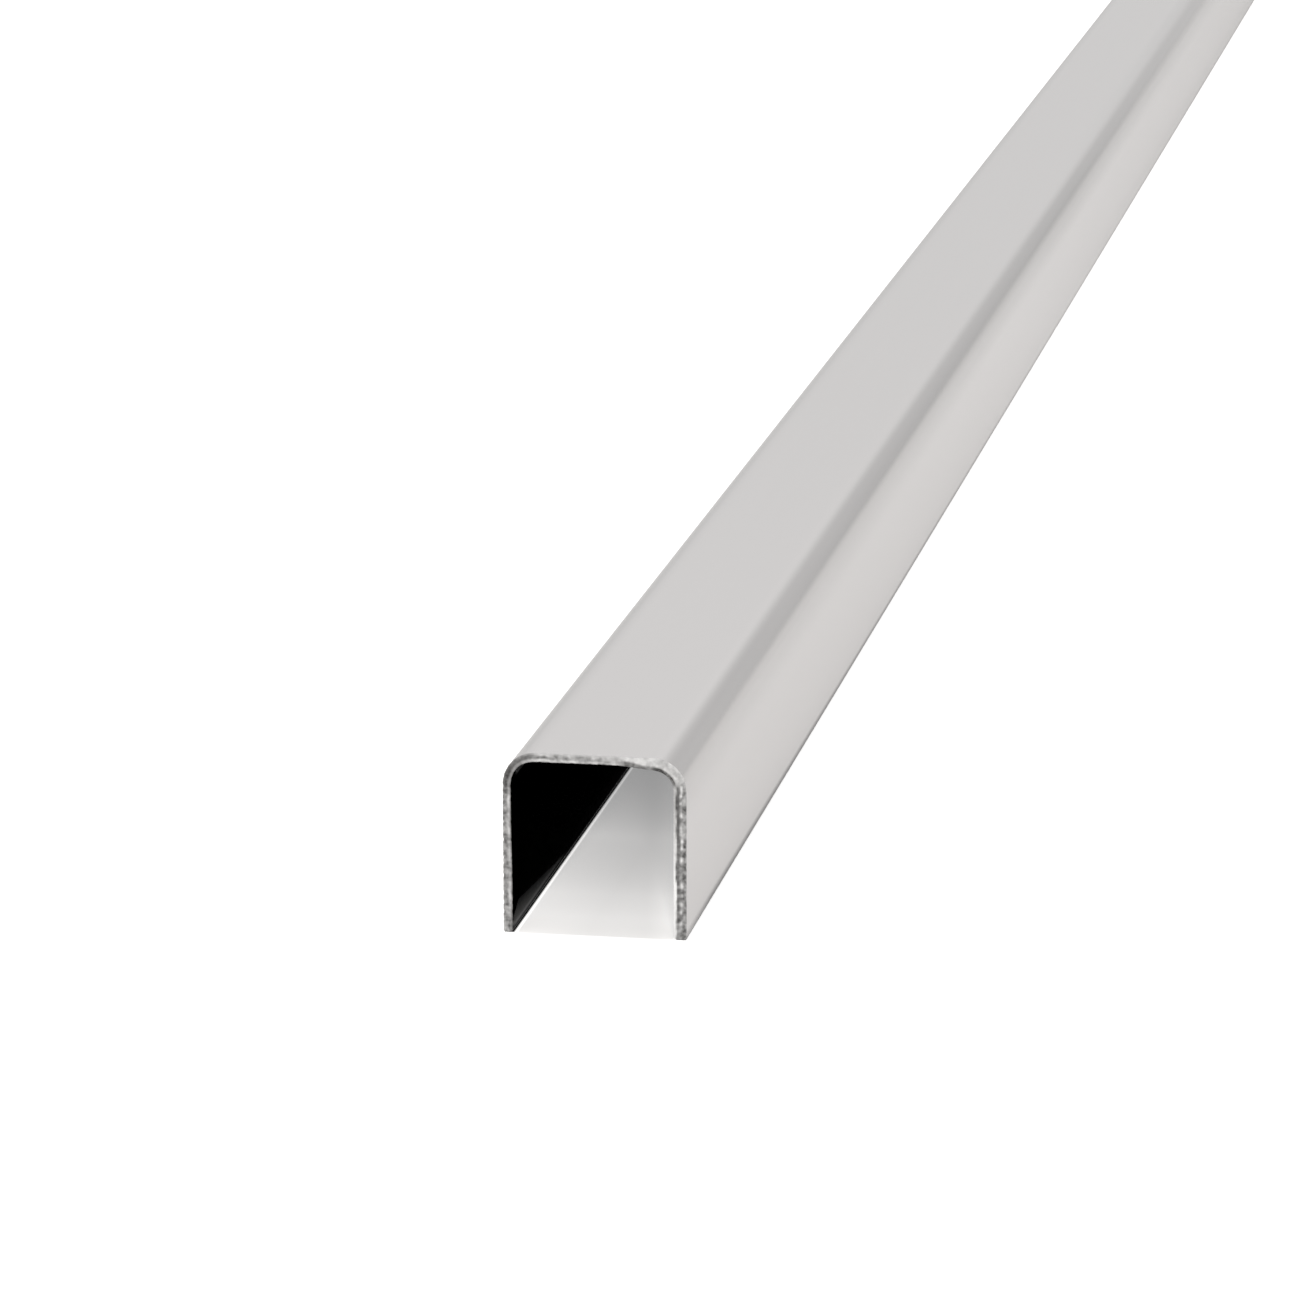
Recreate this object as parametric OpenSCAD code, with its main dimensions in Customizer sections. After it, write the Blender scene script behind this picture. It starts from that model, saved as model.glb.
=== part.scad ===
// Tile trim: a U section folded from one strip of stainless steel sheet.
// Frame: X across the visible face, Y along the length, Z up from the edges of the legs.
// The origin is on the plane of the leg edges, midway across the section and along the length.

/* [Section] */
// Width of the visible face, over the outside of both bends
face_w = 10; // [8:0.5:30]
// Height from the leg edges up to the visible face
leg_h = 10; // [6:0.5:30]
// Thickness of the sheet
sheet_t = 0.5; // [0.4:0.05:1]
// Inside radius of the two bends
bend_r = 1.3; // [0.8:0.1:2.2]
// Radius that slitting leaves on the two corners of each leg edge
slit_r = 0.1; // [0.05:0.01:0.18]

/* [Stock] */
// Length of one piece as sold
stock_l = 2500; // [500:50:3000]

/* [Hidden] */
$fn = 96;
// The bends' outer radius and the straight stretches that are left between them
outer_r = bend_r + sheet_t;
web_w = face_w - 2 * outer_r;
leg_flat_h = leg_h - outer_r;

// Quarter ring of sheet whose centre is at the origin, opening towards -X and +Y
module bend_section() {
    intersection() {
        difference() {
            circle(r = outer_r);
            circle(r = bend_r);
        }
        translate([-outer_r, 0])
            square(outer_r);
    }
}

// Straight stretch of sheet for one leg, from its rounded free edge at the origin up to the bend
module leg_section() {
    translate([0, slit_r])
        square([sheet_t, leg_flat_h - slit_r]);
    translate([slit_r, 0])
        square([sheet_t - 2 * slit_r, slit_r]);
    for (x = [slit_r, sheet_t - slit_r])
        translate([x, slit_r])
            circle(r = slit_r);
}

// One side of the section: a leg and the bend above it
module side_section() {
    translate([-face_w / 2, 0])
        leg_section();
    translate([-face_w / 2 + outer_r, leg_flat_h])
        bend_section();
}

// The whole section, drawn with the face's width along X and the legs' height along Y
module trim_section() {
    side_section();
    mirror([1, 0])
        side_section();
    translate([-web_w / 2, leg_h - sheet_t])
        square([web_w, sheet_t]);
}

// The trim: one strip, folded twice and cut square at both ends
module u_profile() {
    color([0.81, 0.81, 0.8])
        translate([0, stock_l / 2, 0])
            rotate([90, 0, 0])
                linear_extrude(height = stock_l)
                    trim_section();
}

u_profile();
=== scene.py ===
import math

import bpy
from mathutils import Matrix, Vector, noise


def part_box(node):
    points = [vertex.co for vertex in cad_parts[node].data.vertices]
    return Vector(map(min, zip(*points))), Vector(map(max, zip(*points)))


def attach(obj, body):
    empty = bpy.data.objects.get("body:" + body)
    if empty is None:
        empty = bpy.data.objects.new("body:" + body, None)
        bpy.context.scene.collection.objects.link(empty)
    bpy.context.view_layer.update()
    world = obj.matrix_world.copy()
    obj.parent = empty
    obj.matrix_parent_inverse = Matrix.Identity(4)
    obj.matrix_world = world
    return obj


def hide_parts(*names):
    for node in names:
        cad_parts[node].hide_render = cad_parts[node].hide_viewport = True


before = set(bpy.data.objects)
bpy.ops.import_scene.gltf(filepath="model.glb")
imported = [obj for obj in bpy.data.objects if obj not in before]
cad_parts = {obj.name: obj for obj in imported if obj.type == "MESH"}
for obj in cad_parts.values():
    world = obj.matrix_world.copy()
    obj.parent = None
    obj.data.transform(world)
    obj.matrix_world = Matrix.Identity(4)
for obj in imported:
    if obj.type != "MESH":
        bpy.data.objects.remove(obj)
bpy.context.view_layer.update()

# The strip
# One strip of 0.5 mm stainless sheet, slit to width, run through rollers that fold it twice into
# a U, and cut to length. The two bends are round, and nothing is fastened to it.
low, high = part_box("u_profile")
MM = 0.001
sheet_t = 0.5 * MM
bend_in = 1.3 * MM
bend_out = bend_in + sheet_t
slit_r = 0.1 * MM
half_w = (high.x - low.x) / 2
inside_w = half_w - sheet_t
face_z = high.z
leg_top = face_z - bend_out
web_half = half_w - bend_out

# Steps of the mesh along the section, cells through the sheet, and rings along the length. The
# rings stand close together at a cut end, where the surfaces are pulled and the shade changes
section_step = 0.05 * MM
slit_turn = math.pi / 10
sheet_cells = 10
end_rings = [d * MM for d in (0, 0.03, 0.08, 0.2, 0.5, 1.2, 3.0, 8.0, 20.0, 45.0, 80.0)]
ring_step = 125 * MM


def spread(first, last, step):
    """Even values from first to last, both included, no further apart than step."""
    count = max(1, math.ceil(abs(last - first) / step))
    return [first + (last - first) * i / count for i in range(count + 1)]


def right_half_stations():
    """Pairs of outer and inner points, as (x, z), from the middle of the face to the right foot."""
    pairs = [((x, face_z), (x, face_z - sheet_t)) for x in spread(0, web_half, section_step)]
    for turn in spread(0, math.pi / 2, section_step / bend_out)[1:]:
        across, up = math.sin(turn), math.cos(turn)
        pairs.append(((web_half + bend_out * across, leg_top + bend_out * up),
                      (web_half + bend_in * across, leg_top + bend_in * up)))
    for z in spread(leg_top, slit_r, section_step)[1:]:
        pairs.append(((half_w, z), (inside_w, z)))
    for turn in spread(0, math.pi / 2, slit_turn)[1:]:
        tuck = slit_r * (1 - math.cos(turn))
        z = slit_r * (1 - math.sin(turn))
        pairs.append(((half_w - tuck, z), (inside_w + tuck, z)))
    return pairs


right_half = right_half_stations()
left_half = [((-o[0], o[1]), (-i[0], i[1])) for o, i in reversed(right_half[1:])]
stations = left_half + right_half

# The path that the middle of the sheet follows, from the left foot to the right one
mid_points = [((o[0] + i[0]) / 2, (o[1] + i[1]) / 2) for o, i in stations]
path = [0.0]
for before, after in zip(mid_points, mid_points[1:]):
    path.append(path[-1] + math.dist(before, after))

from_end = end_rings + spread(end_rings[-1], high.y, ring_step)[1:]
ring_y = [low.y + d for d in from_end] + [high.y - d for d in reversed(from_end[:-1])]
last_ring = len(ring_y) - 1
last_station = len(stations) - 1


def smooth(value, start, end):
    """0 before start and 1 after end, eased between them."""
    t = min(1.0, max(0.0, (value - start) / (end - start)))
    return t * t * (3 - 2 * t)


# Share of the light that painted shade takes off the finish where a bend is darkest
full_shade = 0.13


def bend_shade(x, z, depth):
    """Share of the light that is lost over a bend and just below it, this deep from a cut end.

    It is painted shade, which changes in four stretches along the strip over the right bend. In each it
    rises and falls with the angle turned, in degrees.
    """
    turn = math.degrees(math.asin(min(1.0, max(0.0, (abs(x) - web_half) / bend_out))))
    last = smooth(depth, 190 * MM, 280 * MM)
    if x < 0:
        shade = smooth(turn, 12, 40) * (1 - 0.28 * last)
    else:
        near = 1 - smooth(depth, 15 * MM, 65 * MM)
        far = smooth(depth, 80 * MM, 150 * MM)
        face_edge = smooth(x, web_half - 0.7 * MM, web_half + 0.1 * MM)
        near_shade = smooth(turn, 10, 36) - smooth(turn, 33, 57) + 0.95 * smooth(turn, 56, 80)
        mid_shade = 0.65 * smooth(turn, 18, 35) + 0.55 * smooth(turn, 63, 80)
        far_shade = -0.4 * smooth(turn, 8, 25) + 0.75 * smooth(turn, 25, 36) + 1.5 * smooth(turn, 45, 90)
        last_shade = 0.45 * face_edge - 0.95 * smooth(turn, 10, 27)
        last_shade += 2.2 * smooth(turn, 56, 82) - 0.6 * smooth(turn, 38, 56)
        shade = near * near_shade + (1 - near) * (1 - far) * mid_shade
        shade += far * (1 - last) * far_shade + last * last_shade
    below = smooth(leg_top - z, -0.3 * MM, 2.0 * MM)
    return full_shade * shade * (1 - below)


def foot_shade(z, depth):
    """Share of the light that is lost along the foot: painted shade, a thin dark line where the leg meets
    the floor.
    """
    line = (0.86 - 0.64 * smooth(depth, 15 * MM, 190 * MM)) * (0.5 + 0.5 * smooth(depth, 0, 8 * MM))
    line_top = (0.62 - 0.2 * smooth(depth, 0, 80 * MM)) * MM
    haze = 0.05 * smooth(depth, 190 * MM, 280 * MM) * (1 - smooth(z, 0.3 * MM, 2.2 * MM))
    return line * (1 - smooth(z, slit_r, line_top)) + haze


# The cut ends
# A blade has sheared the strip across, entering from the left. On the left leg and most of the
# face it goes in from the outside, and past that from the inside, so the smooth and the torn
# zones of the cut swap sides there. It leaves a burr inside the right leg.
grain = 0.13 * MM
tear_depth = 0.03 * MM
rim_depth = 0.01 * MM
pulled_depth = 0.5 * MM
cut_level = 0.87
near_seed, far_seed = 1.0, 57.0

# Where the cut's zones start along the path, and how far they fade into each other
bend_length = (bend_in + bend_out) / 2 * math.pi / 2
left_bend_at = leg_top
left_face_at = left_bend_at + bend_length
right_bend_at = left_face_at + 2 * web_half
swap_at = right_bend_at - 1.7 * MM
right_leg_at = right_bend_at + bend_length
zone_blend = 0.6 * MM


def band(value, start, end, soft):
    """1 between start and end, 0 outside them, eased over soft at both."""
    half = soft / 2
    return smooth(value, start - half, start + half) * (1 - smooth(value, end - half, end + half))


def between_knots(place, *knots):
    """The value at a place, on straight lines between knots of (place, value)."""
    for (start, before), (end, after) in zip(knots, knots[1:]):
        if place < end:
            return before + (after - before) * max(0.0, place - start) / (end - start)
    return knots[-1][1]


def wander(s, length, seed, layer):
    """Smooth noise along the path, with bumps of this length. Each layer has noise of its own."""
    return noise.noise(Vector((s / length, seed, layer)))


def cut_look(index, u, seed):
    """Tone (0 torn and dark, 1 rubbed and bright) and pitting of the cut at a station and a share u.

    The share goes through the sheet, from 0 at the outside to 1 at the inside.
    """
    s = path[index]
    x, z = mid_points[index]
    v = u + 0.08 * wander(s, 0.5 * MM, seed, 3.7)
    streak = wander(s, 0.8 * MM, seed, 7.7)

    # Left leg: grey, with a brighter streak just outside the dark inner corner, and trodden at the foot
    trodden = 0.14 * (1 - smooth(z, 0.2 * MM, 1.2 * MM))
    left_leg = between_knots(
        v, (0.0, 0.34 + trodden), (0.3, 0.27 + trodden), (0.5, 0.35 + trodden),
        (0.68, 0.51 + 0.5 * streak), (0.84, 0.47 + 0.3 * streak), (0.93, 0.22), (1.0, 0.04))
    left_leg_pits = 0.20 * (1 - smooth(v, 0.8, 1.0))

    # Left bend: dark where the leg ends, and brighter as it climbs to the face
    climb = smooth(s, left_bend_at + 1.0 * MM, left_face_at + 0.3 * MM)
    left_bend = between_knots(
        v, (0.0, 0.16 + 0.5 * climb), (0.28, 0.06 + 0.24 * climb), (0.52, 0.04 + 0.18 * climb),
        (0.74, 0.26 + 0.44 * climb), (0.88, 0.26 + 0.40 * climb), (1.0, 0.06 + 0.2 * climb))

    # Face: rubbed on both sides of a torn line, which drifts inwards and fades on its way to the right
    drift = smooth(x, -3.3 * MM, 1.2 * MM)
    torn = 0.46 + 0.14 * drift
    torn_tone = 0.26 + 0.22 * drift
    face = between_knots(
        v, (0.0, 0.68), (torn - 0.26, 0.54 + 0.3 * streak), (torn - 0.02, torn_tone),
        (torn + 0.10, torn_tone), (torn + 0.28, 0.74 + 0.3 * streak), (0.95, 0.50), (1.0, 0.20))
    face_pits = 0.05 + 0.12 * smooth(v, 0.08, 0.35)

    # End of the face, past the swap: rubbed outside, and torn in a line that slides to the inner edge
    slide = smooth(x, 1.8 * MM, 3.0 * MM)
    face_end = between_knots(
        v, (0.0, 0.76), (0.42 + 0.2 * slide, 0.76), (0.62 + 0.17 * slide, 0.26), (1.0, 0.18))

    # Right bend: rubbed almost right through
    right_bend = between_knots(v, (0.0, 0.72), (0.4, 0.64), (0.70, 0.82), (0.80, 0.08), (1.0, 0.08))

    # Right leg: bright beads in the middle, a hollow with flecks in it, and the burr at the inner edge
    beads = smooth(wander(s, 0.36 * MM, seed, 9.1), -0.2, 0.35)
    gap = smooth(wander(s, 1.0 * MM, seed, 5.3), 0.15, 0.45)
    fleck = max(0.0, wander(s, 0.22 * MM, seed, 2.3))
    hollow = 0.12 + 0.5 * fleck * (1 - smooth(z, 3 * MM, 7 * MM)) + 0.2 * (1 - smooth(z, 0.3 * MM, 1.2 * MM))
    burr = 1.2 - 0.65 * smooth(z, 2.0 * MM, 8.2 * MM)
    right_leg = between_knots(
        v, (0.0, 0.38), (0.08, 0.25 + 0.3 * gap), (0.26, 0.23 + 0.3 * gap), (0.34, 0.32 + 0.6 * beads),
        (0.44, 0.32 + 0.6 * beads), (0.54, hollow), (0.76, hollow - 0.02), (0.82, burr), (1.0, burr))
    right_leg_pits = 0.07 + 0.13 * (1 - smooth(v, 0.46, 0.54))

    zones = (
        (-MM, left_bend_at - 0.2 * MM, left_leg, left_leg_pits),
        (left_bend_at - 0.2 * MM, left_face_at + 0.1 * MM, left_bend, 0.10),
        (left_face_at + 0.1 * MM, swap_at, face, face_pits),
        (swap_at, right_bend_at + 0.1 * MM, face_end, 0.13),
        (right_bend_at + 0.1 * MM, right_leg_at - 0.4 * MM, right_bend, 0.15),
        (right_leg_at - 0.4 * MM, path[-1] + MM, right_leg, right_leg_pits))
    tone, pitting = 0.0, 0.0
    for start, end, zone_tone, zone_pitting in zones:
        share = band(s, start, end, zone_blend)
        tone += share * zone_tone
        pitting += share * zone_pitting
    return min(1.0, max(0.0, cut_level * tone)), cut_level * pitting


def edge_pull(index, depth, seed):
    """How far the blade has pulled the outer and inner surfaces into the sheet, this deep from a cut.

    The outer edge is ragged. The inner one is rolled over on the left leg, and past the middle of
    the face it stands proud of the surface, as the burr.
    """
    fade = 1 - smooth(depth, 0, pulled_depth)
    if fade <= 0:
        return 0.0, 0.0
    x, z = mid_points[index]
    ragged = smooth(wander(path[index], 0.25 * MM, seed, 1.9), -0.1, 0.5)
    right = smooth(x, 1.0 * MM, 2.2 * MM)
    burred = smooth(x, 1.0 * MM, 3.6 * MM)
    left = 1 - smooth(x, -4.4 * MM, -3.4 * MM)
    outer = (0.03 * (1 - right) + 0.015 * right) * ragged
    inner = -0.205 * burred + 0.06 * left * smooth(z, 2 * MM, 7 * MM) + 0.02 * ragged * (1 - burred)
    return outer * fade * MM, inner * fade * MM


# The mesh of the strip
# A grid of vertices at every ring and station on the outside and the inside of the sheet, closed
# by cells through the sheet at the slit edges and at the cut ends.
vertices, cut_tone_and_shade, cut_pitting, painted_shade = [], [], [], []
vertex_at = {}


def place_vertex(ring, index, cell):
    """Makes the vertex of this ring, station and cell through the sheet once, and gives its number."""
    key = (ring, index, cell)
    if key in vertex_at:
        return vertex_at[key]
    u = cell / sheet_cells
    y = ring_y[ring]
    depth = min(y - low.y, high.y - y)
    inward, seed = (1, near_seed) if y < 0 else (-1, far_seed)
    (ox, oz), (ix, iz) = stations[index]
    outer_in, inner_in = edge_pull(index, depth, seed)
    gauge = math.dist((ox, oz), (ix, iz))
    share = (outer_in + (gauge - outer_in - inner_in) * u) / gauge
    # Behind the cut, the tone is that of the slit edge: painted shade for the dark line along the foot, dark
    # near the end and lighter further in
    tone, pitting = 0.05 + 0.65 * smooth(depth, 20 * MM, 180 * MM), 0.0
    if ring in (0, last_ring):
        tone, pitting = cut_look(index, u, seed)
        place = Vector((path[index] / grain, u * sheet_t / grain, seed))
        torn = abs(noise.noise(place)) + 0.6 * abs(noise.noise(place * 2.1))
        sunk = tear_depth * (0.5 * (1 - tone) + 1.1 * torn * (0.35 + pitting))
        y += (sunk + rim_depth * (cell in (0, sheet_cells))) * inward
    vertices.append((ox + (ix - ox) * share, y, oz + (iz - oz) * share))
    cut_tone_and_shade.append(tone)
    cut_pitting.append(pitting)
    painted_shade.append(bend_shade(ox, oz, depth) + foot_shade(oz, depth))
    vertex_at[key] = len(vertices) - 1
    return vertex_at[key]


faces, face_material = [], []
OUTSIDE, INSIDE, CUT = 0, 1, 2


def add_face(corners, material):
    """Adds a face of this material through its corners, each a ring, a station and a cell."""
    faces.append([place_vertex(*corner) for corner in corners])
    face_material.append(material)


for r in range(last_ring):
    for j in range(last_station):
        # The outer rounding of the slit edge is as bare as the cut and takes the cut's tone, which there is
        # painted shade
        front = CUT if max(stations[j][0][1], stations[j + 1][0][1]) < slit_r else OUTSIDE
        add_face([(r, j, 0), (r, j + 1, 0), (r + 1, j + 1, 0), (r + 1, j, 0)], front)
        add_face([(r, j, sheet_cells), (r + 1, j, sheet_cells),
                  (r + 1, j + 1, sheet_cells), (r, j + 1, sheet_cells)], INSIDE)
    for k in range(sheet_cells):
        add_face([(r, 0, k), (r + 1, 0, k), (r + 1, 0, k + 1), (r, 0, k + 1)], CUT)
        add_face([(r, last_station, k), (r, last_station, k + 1),
                  (r + 1, last_station, k + 1), (r + 1, last_station, k)], CUT)
for j in range(last_station):
    for k in range(sheet_cells):
        add_face([(0, j, k), (0, j, k + 1), (0, j + 1, k + 1), (0, j + 1, k)], CUT)
        add_face([(last_ring, j, k), (last_ring, j + 1, k),
                  (last_ring, j + 1, k + 1), (last_ring, j, k + 1)], CUT)

strip_mesh = bpy.data.meshes.new("folded_strip")
strip_mesh.from_pydata(vertices, [], faces)
strip_mesh.polygons.foreach_set("material_index", face_material)
strip_mesh.polygons.foreach_set("use_smooth", [True] * len(faces))
for name, values in (("cut_tone_and_shade", cut_tone_and_shade), ("cut_pitting", cut_pitting), ("painted_shade", painted_shade)):
    strip_mesh.attributes.new(name, "FLOAT", "POINT").data.foreach_set("value", values)
strip_mesh.validate()
strip_mesh.update()
strip = bpy.data.objects.new("folded_strip", strip_mesh)
bpy.context.scene.collection.objects.link(strip)
strip_mesh.set_sharp_from_angle(angle=math.radians(40))


def linear(hex_colour):
    """An sRGB hex colour as linear RGBA."""
    parts = [int(hex_colour[i:i + 2], 16) / 255 for i in (1, 3, 5)]
    return [c / 12.92 if c <= 0.04045 else ((c + 0.055) / 1.055) ** 2.4 for c in parts] + [1.0]


def add_node(tree, kind, settings=None, inputs=None):
    """Adds a node, sets its own settings, and gives each input, by name or number, a value or a link."""
    node = tree.nodes.new(kind)
    for name, value in (settings or {}).items():
        setattr(node, name, value)
    for name, value in (inputs or {}).items():
        if isinstance(value, bpy.types.NodeSocket):
            tree.links.new(value, node.inputs[name])
        else:
            node.inputs[name].default_value = value
    return node


def new_material(name):
    """An empty node material and its tree."""
    material = bpy.data.materials.new(name)
    material.use_nodes = True
    material.node_tree.nodes.clear()
    return material, material.node_tree


# Brushed stainless steel: a satin, faintly lined surface that mirrors the room only as soft tones. Painted
# shade darkens it over the bends and in a thin line along the foot of each leg. Real brush lines would be
# too fine to show, so they are drawn coarser, 0.2 mm wide
line_width = 0.2 * MM
line_length = 40 * MM
brushed, tree = new_material("brushed_stainless_steel")
place = add_node(tree, "ShaderNodeTexCoord").outputs["Object"]
along = add_node(tree, "ShaderNodeMapping", inputs={
    "Vector": place, "Scale": (1 / line_width, 1 / line_length, 1 / line_width)})
lines = add_node(tree, "ShaderNodeTexNoise", inputs={
    "Vector": along.outputs["Vector"], "Scale": 1.0, "Detail": 3.0, "Roughness": 0.6})
tone = add_node(tree, "ShaderNodeMix", {"data_type": "RGBA"}, {
    "Factor": lines.outputs["Fac"], "A": linear("#d9d6d5"), "B": linear("#dddad9")})
# This attribute is painted shade over the bends and along the foot of each leg, taken off the tone
darkening = add_node(tree, "ShaderNodeAttribute", {"attribute_name": "painted_shade"}).outputs["Fac"]
left_over = add_node(tree, "ShaderNodeMath", {"operation": "SUBTRACT"}, {0: 1.0, 1: darkening})
tone = add_node(tree, "ShaderNodeVectorMath", {"operation": "SCALE"}, {
    0: tone.outputs["Result"], "Scale": left_over.outputs[0]})
satin = add_node(tree, "ShaderNodeMapRange", inputs={
    "Value": lines.outputs["Fac"], "To Min": 0.20, "To Max": 0.28})
shader = add_node(tree, "ShaderNodeBsdfPrincipled", inputs={
    "Base Color": tone.outputs["Vector"], "Metallic": 1.0, "Roughness": satin.outputs["Result"],
    "Specular Tint": linear("#eaeaea")})
add_node(tree, "ShaderNodeOutputMaterial", inputs={"Surface": shader.outputs["BSDF"]})

# The back of the strip: left as rolled and never brushed, and painted near black as the shade deep inside
# the channel. Along the foot of each leg a painted reflection makes it shine: in a wedge that is highest at
# the cut, runs out further in, is cut off aslant at one corner, and stops just short of the foot
cloud_width = 0.4 * MM
cloud_length = 50 / 3 * MM
shine_length = 18.5 * MM
shine_height = 1.6 * MM
corner_slope = 2.0
back, tree = new_material("rolled_back_painted_dark")
place = add_node(tree, "ShaderNodeTexCoord").outputs["Object"]
along = add_node(tree, "ShaderNodeMapping", inputs={
    "Vector": place, "Scale": (1 / cloud_width, 1 / cloud_length, 1 / cloud_width)})
clouds = add_node(tree, "ShaderNodeTexNoise", inputs={
    "Vector": along.outputs["Vector"], "Scale": 1.0, "Detail": 2.0})
tone = add_node(tree, "ShaderNodeMix", {"data_type": "RGBA"}, {
    "Factor": clouds.outputs["Fac"], "A": linear("#101111"), "B": linear("#191a1a")})
where = add_node(tree, "ShaderNodeSeparateXYZ", inputs={"Vector": place})
lengthwise = add_node(tree, "ShaderNodeMath", {"operation": "ABSOLUTE"}, {0: where.outputs["Y"]}).outputs[0]
inward = add_node(tree, "ShaderNodeMapRange", {"clamp": False}, {
    "Value": lengthwise, "From Min": high.y, "From Max": high.y - shine_length})
upward = add_node(tree, "ShaderNodeMapRange", {"clamp": False}, {
    "Value": where.outputs["Z"], "From Min": 0.0, "From Max": shine_height})
away = add_node(tree, "ShaderNodeMath", {"operation": "ADD"}, {
    0: inward.outputs["Result"], 1: upward.outputs["Result"]}).outputs[0]
# The wedge is a painted reflection of the lit floor near each foot, set through the specular tint
painted_sheen = add_node(tree, "ShaderNodeMapRange", {"interpolation_type": "SMOOTHSTEP"}, {
    "Value": away, "From Min": 1.10, "From Max": 0.90}).outputs["Result"]
rise = add_node(tree, "ShaderNodeMapRange", inputs={
    "Value": away, "From Min": 1.0, "From Max": 0.1, "To Min": 0.40, "To Max": 1.0}).outputs["Result"]
corner = add_node(tree, "ShaderNodeMath", {"operation": "MULTIPLY_ADD"}, {
    0: where.outputs["Z"], 1: corner_slope, 2: lengthwise}).outputs[0]
corner = add_node(tree, "ShaderNodeMapRange", inputs={
    "Value": corner, "From Min": high.y + 1.55 * MM, "From Max": high.y + 1.05 * MM}).outputs["Result"]
above_foot = add_node(tree, "ShaderNodeMapRange", inputs={
    "Value": where.outputs["Z"], "From Min": 0.16 * MM, "From Max": 0.34 * MM,
    "To Min": 0.20, "To Max": 0.44}).outputs["Result"]
for factor in (rise, corner, above_foot):
    painted_sheen = add_node(tree, "ShaderNodeMath", {"operation": "MULTIPLY"}, {0: painted_sheen, 1: factor}).outputs[0]
painted_sheen = add_node(tree, "ShaderNodeMath", {"operation": "ADD"}, {0: painted_sheen, 1: 0.03}).outputs[0]
painted_sheen_tint = add_node(tree, "ShaderNodeCombineColor", inputs={"Red": painted_sheen, "Green": painted_sheen, "Blue": painted_sheen})
shader = add_node(tree, "ShaderNodeBsdfPrincipled", inputs={
    "Base Color": tone.outputs["Result"], "Metallic": 1.0, "Roughness": 0.12,
    "Specular Tint": painted_sheen_tint.outputs["Color"]})
add_node(tree, "ShaderNodeOutputMaterial", inputs={"Surface": shader.outputs["BSDF"]})

# The sheared edge: bright where the blade rubbed it smooth, grey and pitted where it tore. On the slit edges
# its tone is painted shade along the foot
pit_width = 0.26 * MM
sheared, tree = new_material("sheared_stainless_edge")
place = add_node(tree, "ShaderNodeTexCoord").outputs["Object"]
pits = add_node(tree, "ShaderNodeTexNoise", inputs={
    "Vector": place, "Scale": 1 / pit_width, "Detail": 1.0, "Roughness": 0.5})
centred = add_node(tree, "ShaderNodeMapRange", inputs={
    "Value": pits.outputs["Fac"], "From Min": 0.3, "From Max": 0.7, "To Min": -1.0, "To Max": 1.0})
pitting = add_node(tree, "ShaderNodeAttribute", {"attribute_name": "cut_pitting"}).outputs["Fac"]
rubbed_and_shade = add_node(tree, "ShaderNodeAttribute", {"attribute_name": "cut_tone_and_shade"}).outputs["Fac"]
mottled = add_node(tree, "ShaderNodeMath", {"operation": "MULTIPLY_ADD", "use_clamp": True}, {
    0: centred.outputs["Result"], 1: pitting, 2: rubbed_and_shade})
tone = add_node(tree, "ShaderNodeMix", {"data_type": "RGBA"}, {
    "Factor": mottled.outputs[0], "A": linear("#4e4d4c"), "B": linear("#f8f7f6")})
wear = add_node(tree, "ShaderNodeMapRange", inputs={
    "Value": mottled.outputs[0], "To Min": 0.48, "To Max": 0.36})
shader = add_node(tree, "ShaderNodeBsdfPrincipled", inputs={
    "Base Color": tone.outputs["Result"], "Metallic": 1.0, "Roughness": wear.outputs["Result"],
    "Specular Tint": linear("#bcbcbc")})
add_node(tree, "ShaderNodeOutputMaterial", inputs={"Surface": shader.outputs["BSDF"]})

for material in (brushed, back, sheared):
    strip_mesh.materials.append(material)
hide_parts("u_profile")
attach(strip, "root")

# The floor
# A wide sheet of matt white board, on which the trim lies. Its top is a hair under the trim's feet,
# so that the two never share a plane.
board_half = 60.0
board_drop = 0.02 * MM
floor_mesh = bpy.data.meshes.new("white_board")
floor_mesh.from_pydata([(x, y, 0) for x, y in ((-1, -1), (1, -1), (1, 1), (-1, 1))], [], [(0, 1, 2, 3)])
floor_mesh.transform(Matrix.Scale(board_half, 4))
floor = bpy.data.objects.new("white_board", floor_mesh)
bpy.context.scene.collection.objects.link(floor)
floor.location.z = -board_drop

# White board: it glows a little by itself, which keeps it white around the trim. In the channel the glow is
# painted light and shade, light grey deep in. The glow is only seen, by the eye and in the metal, and lights
# nothing else
board, tree = new_material("matt_white_board")
place = add_node(tree, "ShaderNodeNewGeometry").outputs["Position"]
where = add_node(tree, "ShaderNodeSeparateXYZ", inputs={"Vector": place})
aside = add_node(tree, "ShaderNodeMath", {"operation": "ABSOLUTE"}, {0: where.outputs["X"]}).outputs[0]
lengthwise = add_node(tree, "ShaderNodeMath", {"operation": "ABSOLUTE"}, {0: where.outputs["Y"]}).outputs[0]
beside = add_node(tree, "ShaderNodeMath", {"operation": "GREATER_THAN"}, {0: aside, 1: half_w - 0.05 * MM})
beyond = add_node(tree, "ShaderNodeMath", {"operation": "GREATER_THAN"}, {0: lengthwise, 1: high.y})
outside = add_node(tree, "ShaderNodeMath", {"operation": "MAXIMUM"}, {
    0: beside.outputs[0], 1: beyond.outputs[0]}).outputs[0]
from_end = add_node(tree, "ShaderNodeVectorMath", {"operation": "DISTANCE"}, {
    0: place, 1: (0, low.y, 0)}).outputs["Value"]
open_glow = add_node(tree, "ShaderNodeMapRange", inputs={
    "Value": from_end, "From Min": 30 * MM, "From Max": 300 * MM, "To Min": 0.42, "To Max": 0.56})

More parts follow.
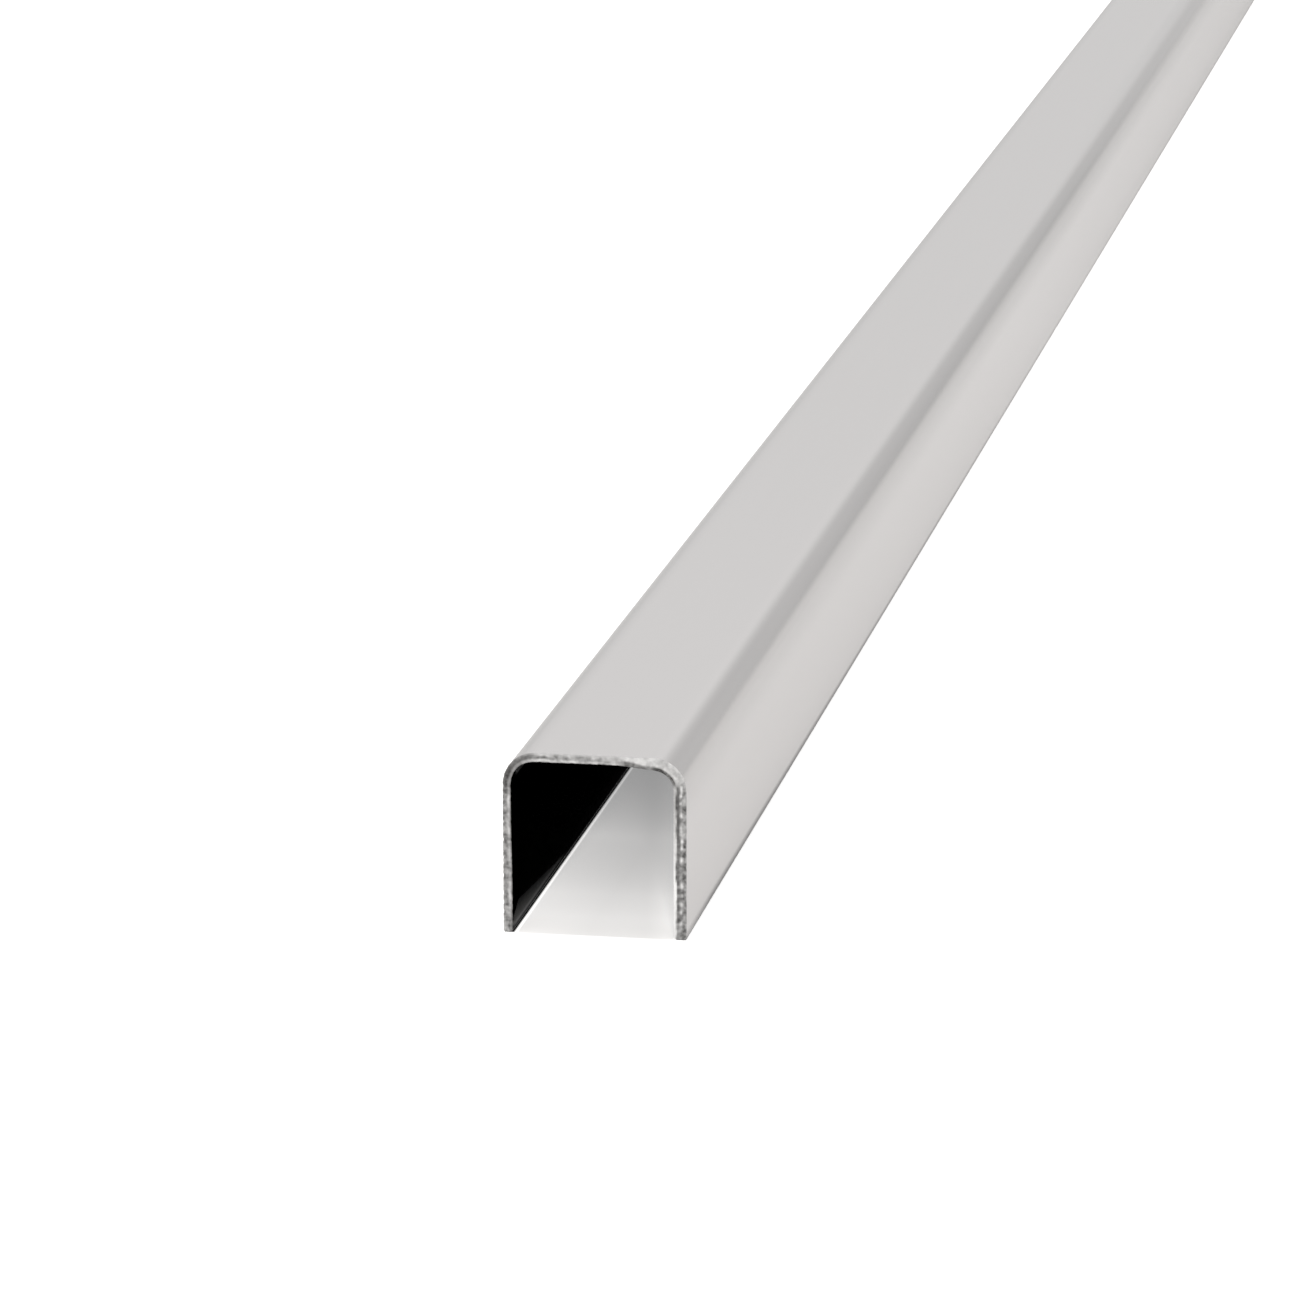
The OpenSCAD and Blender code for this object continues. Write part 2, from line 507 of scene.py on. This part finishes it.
# Along the channel the painted light rises behind the mouth and then eases off a little
rising = add_node(tree, "ShaderNodeMapRange", {"interpolation_type": "SMOOTHSTEP"}, {
    "Value": lengthwise, "From Min": high.y, "From Max": high.y - 4 * MM, "To Min": 0.215, "To Max": 0.299})
easing = add_node(tree, "ShaderNodeMapRange", inputs={
    "Value": lengthwise, "From Min": high.y - 4 * MM, "From Max": high.y - 9 * MM,
    "To Min": 0.0, "To Max": 0.014})
channel_painted_light = add_node(tree, "ShaderNodeMath", {"operation": "SUBTRACT"}, {
    0: rising.outputs["Result"], 1: easing.outputs["Result"]})

# Across the channel there is a painted highlight inside each foot, with a painted contact shadow beside it
foot_highlight = add_node(tree, "ShaderNodeMapRange", {"interpolation_type": "SMOOTHSTEP"}, {
    "Value": aside, "From Min": inside_w - 0.29 * MM, "From Max": inside_w - 0.19 * MM,
    "To Min": 1.0, "To Max": 1.6})
contact_shadow = add_node(tree, "ShaderNodeMapRange", inputs={
    "Value": aside, "From Min": inside_w - 0.15 * MM, "From Max": inside_w - 0.03 * MM,
    "To Min": 1.0, "To Max": 0.0})
foot_highlight = add_node(tree, "ShaderNodeMath", {"operation": "MULTIPLY"}, {
    0: foot_highlight.outputs["Result"], 1: contact_shadow.outputs["Result"]}).outputs[0]

# Painted light makes the board lighter towards the left leg, and in a slanting band inside the right leg,
# where that leg casts its shadow
slant = 0.165
left_lift = add_node(tree, "ShaderNodeMapRange", inputs={
    "Value": where.outputs["X"], "From Min": -0.5 * MM, "From Max": -4.2 * MM,
    "To Min": 0.0, "To Max": 0.14})
past_leg = add_node(tree, "ShaderNodeMath", {"operation": "MULTIPLY_ADD"}, {
    0: where.outputs["Y"], 1: slant, 2: where.outputs["X"]}).outputs[0]
right_lift = add_node(tree, "ShaderNodeMapRange", {"interpolation_type": "SMOOTHSTEP"}, {
    "Value": past_leg, "From Min": slant * low.y + 2.6 * MM, "From Max": slant * low.y + 4.4 * MM,
    "To Min": 0.0, "To Max": 0.17})
lift = add_node(tree, "ShaderNodeMath", {"operation": "ADD"}, {
    0: left_lift.outputs["Result"], 1: right_lift.outputs["Result"]}).outputs[0]
across = add_node(tree, "ShaderNodeMath", {"operation": "MULTIPLY_ADD"}, {
    0: foot_highlight, 1: lift, 2: foot_highlight}).outputs[0]
channel_painted_light = add_node(tree, "ShaderNodeMath", {"operation": "MULTIPLY"}, {
    0: channel_painted_light.outputs[0], 1: across})
seen_glow = add_node(tree, "ShaderNodeMix", inputs={
    "Factor": outside, 2: channel_painted_light.outputs[0], 3: open_glow.outputs["Result"]}).outputs[0]

# The metal mirrors a glowing strip along each foot, a painted reflection, and outside, a glow that is weaker
# far beside the trim
near_foot = add_node(tree, "ShaderNodeMath", {"operation": "GREATER_THAN"}, {
    0: aside, 1: inside_w - 0.25 * MM})
foot_painted_reflection = add_node(tree, "ShaderNodeMath", {"operation": "MULTIPLY"}, {
    0: near_foot.outputs[0], 1: 0.6})
beside_trim = add_node(tree, "ShaderNodeMapRange", {"interpolation_type": "SMOOTHSTEP"}, {
    "Value": aside, "From Min": 14 * MM, "From Max": 40 * MM, "To Min": 1.0, "To Max": 0.4})
open_mirrored = add_node(tree, "ShaderNodeMapRange", inputs={
    "Value": from_end, "From Min": 30 * MM, "From Max": 180 * MM, "To Min": 0.165, "To Max": 0.243})
open_mirrored = add_node(tree, "ShaderNodeMath", {"operation": "MULTIPLY"}, {
    0: open_mirrored.outputs["Result"], 1: beside_trim.outputs["Result"]})
mirrored_glow = add_node(tree, "ShaderNodeMix", inputs={
    "Factor": outside, 2: foot_painted_reflection.outputs[0], 3: open_mirrored.outputs[0]}).outputs[0]

paths = add_node(tree, "ShaderNodeLightPath")
mirrored = add_node(tree, "ShaderNodeMath", {"operation": "MAXIMUM"}, {
    0: paths.outputs["Is Glossy Ray"], 1: paths.outputs["Is Transmission Ray"]})
glow = add_node(tree, "ShaderNodeMath", {"operation": "MULTIPLY"}, {
    0: mirrored.outputs[0], 1: mirrored_glow})
glow = add_node(tree, "ShaderNodeMath", {"operation": "MULTIPLY_ADD"}, {
    0: paths.outputs["Is Camera Ray"], 1: seen_glow, 2: glow.outputs[0]})
glowing = add_node(tree, "ShaderNodeEmission", inputs={"Strength": glow.outputs[0]})
# In the channel the board's colour carries the same painted highlight, contact shadow and lift
channel_colour = add_node(tree, "ShaderNodeVectorMath", {"operation": "SCALE"}, {
    0: linear("#ceccca")[:3], "Scale": across})
colour = add_node(tree, "ShaderNodeMix", {"data_type": "RGBA"}, {
    "Factor": outside, "A": channel_colour.outputs["Vector"], "B": linear("#cecdcc")})
matt = add_node(tree, "ShaderNodeBsdfDiffuse", inputs={"Color": colour.outputs["Result"]})
both = add_node(tree, "ShaderNodeAddShader", inputs={0: glowing.outputs[0], 1: matt.outputs[0]})
add_node(tree, "ShaderNodeOutputMaterial", inputs={"Surface": both.outputs[0]})
floor_mesh.materials.append(board)

# The light
# A white room, a shade softer from overhead to the right and towards the horizon. In front, a little
# to the right, a strong low soft box reaches deep into the channel and a weaker tall one stands above.
world = bpy.data.worlds.new("white_room")
bpy.context.scene.world = world
world.use_nodes = True
tree = world.node_tree
tree.nodes.clear()
direction = add_node(tree, "ShaderNodeSeparateXYZ", inputs={
    "Vector": add_node(tree, "ShaderNodeTexCoord").outputs["Generated"]})
angle = add_node(tree, "ShaderNodeMath", {"operation": "ARCTAN2"}, {
    0: direction.outputs["X"], 1: direction.outputs["Z"]})
softer = add_node(tree, "ShaderNodeMapRange", {"interpolation_type": "SMOOTHSTEP"}, {
    "Value": angle.outputs[0], "From Min": math.radians(-6), "From Max": math.radians(22),
    "To Min": 1.0, "To Max": 0.83})
upper = add_node(tree, "ShaderNodeMapRange", inputs={
    "Value": direction.outputs["Z"], "From Min": 0.0, "From Max": 0.3, "To Min": 0.762, "To Max": 1.0})
level = add_node(tree, "ShaderNodeMath", {"operation": "MULTIPLY"}, {
    0: softer.outputs["Result"], 1: upper.outputs["Result"]})
room = add_node(tree, "ShaderNodeBackground", inputs={
    "Color": linear("#ffffff"), "Strength": level.outputs[0]})
add_node(tree, "ShaderNodeOutputWorld", inputs={"Surface": room.outputs["Background"]})

box_width = 0.38
box_aside = 0.126
box_away = 1.2
box_turn = math.radians(6)
for name, height, middle, power in (("low_soft_box", 0.24, 0.46, 18.0),
                                    ("high_soft_box", 0.79, 1.03, 11.5)):
    lamp = bpy.data.lights.new(name, "AREA")
    lamp.shape = "RECTANGLE"
    lamp.size, lamp.size_y = box_width, height
    lamp.energy = power
    lamp_at = bpy.data.objects.new(name, lamp)
    bpy.context.scene.collection.objects.link(lamp_at)
    lamp_at.location = (box_aside, low.y - box_away, middle)
    lamp_at.rotation_euler = (math.pi / 2, 0, box_turn)
    lamp_at.visible_glossy = False

# The camera
# A long lens close to the near end, a little above and to the right of it.
camera_data = bpy.data.cameras.new("camera")
camera_data.sensor_width = 36.0
camera_data.lens = 162.4
camera = bpy.data.objects.new("camera", camera_data)
bpy.context.scene.collection.objects.link(camera)
bpy.context.scene.camera = camera
camera_place = Vector((56.18 * MM, low.y - 297.39 * MM, 89.43 * MM))
turn_left, tilt_down, roll = (math.radians(d) for d in (10.131, 13.676, -0.120))
camera.matrix_world = (Matrix.Translation(camera_place) @ Matrix.Rotation(turn_left, 4, "Z")
                       @ Matrix.Rotation(math.pi / 2 - tilt_down, 4, "X") @ Matrix.Rotation(roll, 4, "Z"))

bpy.context.scene.view_settings.view_transform = "Standard"
